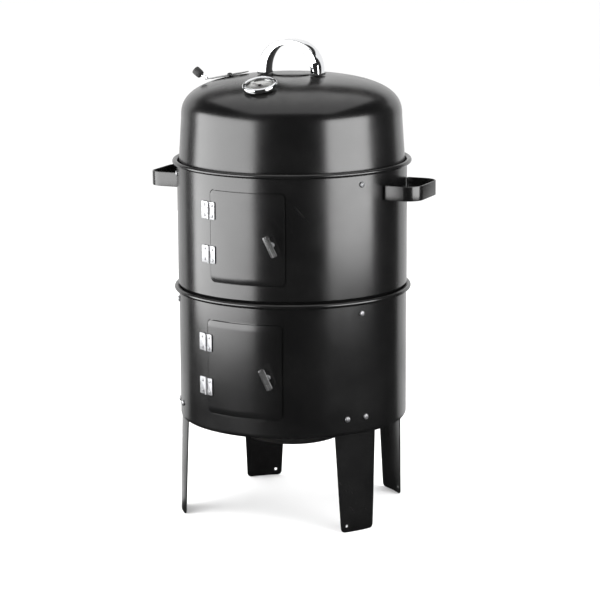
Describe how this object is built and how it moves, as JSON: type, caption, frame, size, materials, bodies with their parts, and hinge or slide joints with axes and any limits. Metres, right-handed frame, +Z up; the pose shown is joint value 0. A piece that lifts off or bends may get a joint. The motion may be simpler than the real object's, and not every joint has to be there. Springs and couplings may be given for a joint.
{
  "type": "vertical charcoal smoker",
  "caption": "Upright barrel charcoal smoker on sheet legs, in stacked lift-off sections with hinged doors, a domed lid with thermometer, vent and arched handle.",
  "frame": {"origin": "on the floor, under the middle of the smoker's overall outline", "axes": "+Z up along the barrel; the doors and the thermometer face -Y; the side handles and the lid handle lie along X, the vent damper on the -X side"},
  "size_m": [0.512, 0.4316, 0.8336],
  "materials": {
    "black_paint": "satin black heat-resistant paint on sheet steel",
    "black_enamel": "semi-matt black enamel",
    "zinc_steel": "bright zinc-plated steel",
    "plated_wire": "chrome-plated wire",
    "chrome": "polished chrome",
    "black_plastic": "matt moulded heat-resistant plastic",
    "dial_face": "silver-printed dial plate",
    "pointer_paint": "matt black",
    "dial_glass": "clear flat glass"
  },
  "bodies": {
    "base": {"lower_barrel": "black_paint", "fire_bowl": "black_enamel", "leg_front_right": "black_paint", "leg_bolt_front_right_1": "zinc_steel", "leg_bolt_front_right_2": "zinc_steel", "leg_front_left": "black_paint", "leg_bolt_front_left_1": "zinc_steel", "leg_bolt_front_left_2": "zinc_steel", "leg_rear_left": "black_paint", "leg_bolt_rear_left_1": "zinc_steel", "leg_bolt_rear_left_2": "zinc_steel", "leg_rear_right": "black_paint", "leg_bolt_rear_right_1": "zinc_steel", "leg_bolt_rear_right_2": "zinc_steel", "lower_bracket_1": "zinc_steel", "lower_bracket_screw_1": "zinc_steel", "lower_bracket_2": "zinc_steel", "lower_bracket_screw_2": "zinc_steel", "lower_bracket_3": "zinc_steel", "lower_bracket_screw_3": "zinc_steel", "lower_hinge_fixed_leaf_1": "zinc_steel", "lower_hinge_fixed_leaf_2": "zinc_steel"},
    "lower_door": {"lower_door": "black_paint", "lower_hinge_door_leaf_1": "zinc_steel", "lower_hinge_door_leaf_2": "zinc_steel"},
    "lower_latch": {"lower_latch_grip": "black_plastic", "lower_latch_spindle": "zinc_steel"},
    "charcoal_grate": {"charcoal_grate": "plated_wire"},
    "water_pan": {"water_pan": "black_enamel"},
    "lower_grate": {"lower_cooking_grate": "plated_wire"},
    "upper_section": {"upper_barrel": "black_paint", "side_handle_left": "black_paint", "side_handle_right": "black_paint", "upper_bracket_1": "zinc_steel", "upper_bracket_screw_1": "zinc_steel", "upper_bracket_2": "zinc_steel", "upper_bracket_screw_2": "zinc_steel", "upper_bracket_3": "zinc_steel", "upper_bracket_screw_3": "zinc_steel", "upper_hinge_fixed_leaf_1": "zinc_steel", "upper_hinge_fixed_leaf_2": "zinc_steel"},
    "upper_door": {"upper_door": "black_paint", "upper_hinge_door_leaf_1": "zinc_steel", "upper_hinge_door_leaf_2": "zinc_steel"},
    "upper_latch": {"upper_latch_grip": "black_plastic", "upper_latch_spindle": "zinc_steel"},
    "upper_grate": {"upper_cooking_grate": "plated_wire"},
    "lid": {"lid": "black_paint", "lid_handle_shell": "chrome", "lid_handle_insert": "black_plastic", "thermometer_case": "chrome", "thermometer_dial": "dial_face", "thermometer_glass": "dial_glass", "damper_rivet": "black_plastic"},
    "damper": {"damper_disc": "black_paint", "damper_wire": "chrome", "damper_knob": "black_plastic"},
    "thermometer_pointer": {"thermometer_needle": "pointer_paint"}
  },
  "joints": [
    {"name": "lower_door_hinge", "type": "hinge", "parent": "base", "child": "lower_door", "pos_m": [-0.08067, -0.17971, 0.287], "axis": [0, 0, -1], "range_deg": [0, 120]},
    {"name": "lower_latch_turn", "type": "hinge", "parent": "lower_door", "child": "lower_latch", "pos_m": [0.03987, -0.1892, 0.279], "axis": [0.1994, -0.9799, 0], "range_deg": [0, 65]},
    {"name": "charcoal_grate_lift", "type": "slide", "parent": "base", "child": "charcoal_grate", "axis": [0, 0, 1], "range_m": [0, 0.06]},
    {"name": "water_pan_lift", "type": "slide", "parent": "base", "child": "water_pan", "axis": [0, 0, 1], "range_m": [0, 0.02]},
    {"name": "lower_grate_lift", "type": "slide", "parent": "base", "child": "lower_grate", "axis": [0, 0, 1], "range_m": [0, 0.08]},
    {"name": "upper_section_lift", "type": "slide", "parent": "base", "child": "upper_section", "axis": [0, 0, 1], "range_m": [0, 0.25]},
    {"name": "upper_door_hinge", "type": "hinge", "parent": "upper_section", "child": "upper_door", "pos_m": [-0.07044, -0.18488, 0.516], "axis": [0, 0, -1], "range_deg": [0, 120]},
    {"name": "upper_latch_turn", "type": "hinge", "parent": "upper_door", "child": "upper_latch", "pos_m": [0.04863, -0.18824, 0.508], "axis": [0.2419, -0.9703, 0], "range_deg": [0, 65]},
    {"name": "upper_grate_lift", "type": "slide", "parent": "upper_section", "child": "upper_grate", "axis": [0, 0, 1], "range_m": [0, 0.06]},
    {"name": "lid_lift", "type": "slide", "parent": "upper_section", "child": "lid", "axis": [0, 0, 1], "range_m": [0, 0.25]},
    {"name": "damper_turn", "type": "hinge", "parent": "lid", "child": "damper", "pos_m": [-0.118, 0.00679, 0.76507], "axis": [-0.1959, 0, 0.9806], "range_deg": [0, 60]},
    {"name": "thermometer_needle_turn", "type": "hinge", "parent": "lid", "child": "thermometer_pointer", "pos_m": [0, -0.12375, 0.76408], "axis": [0, -0.3007, 0.9537], "range_deg": [-130, 130], "stiffness_Nm_per_rad": 0.0002}
  ]
}
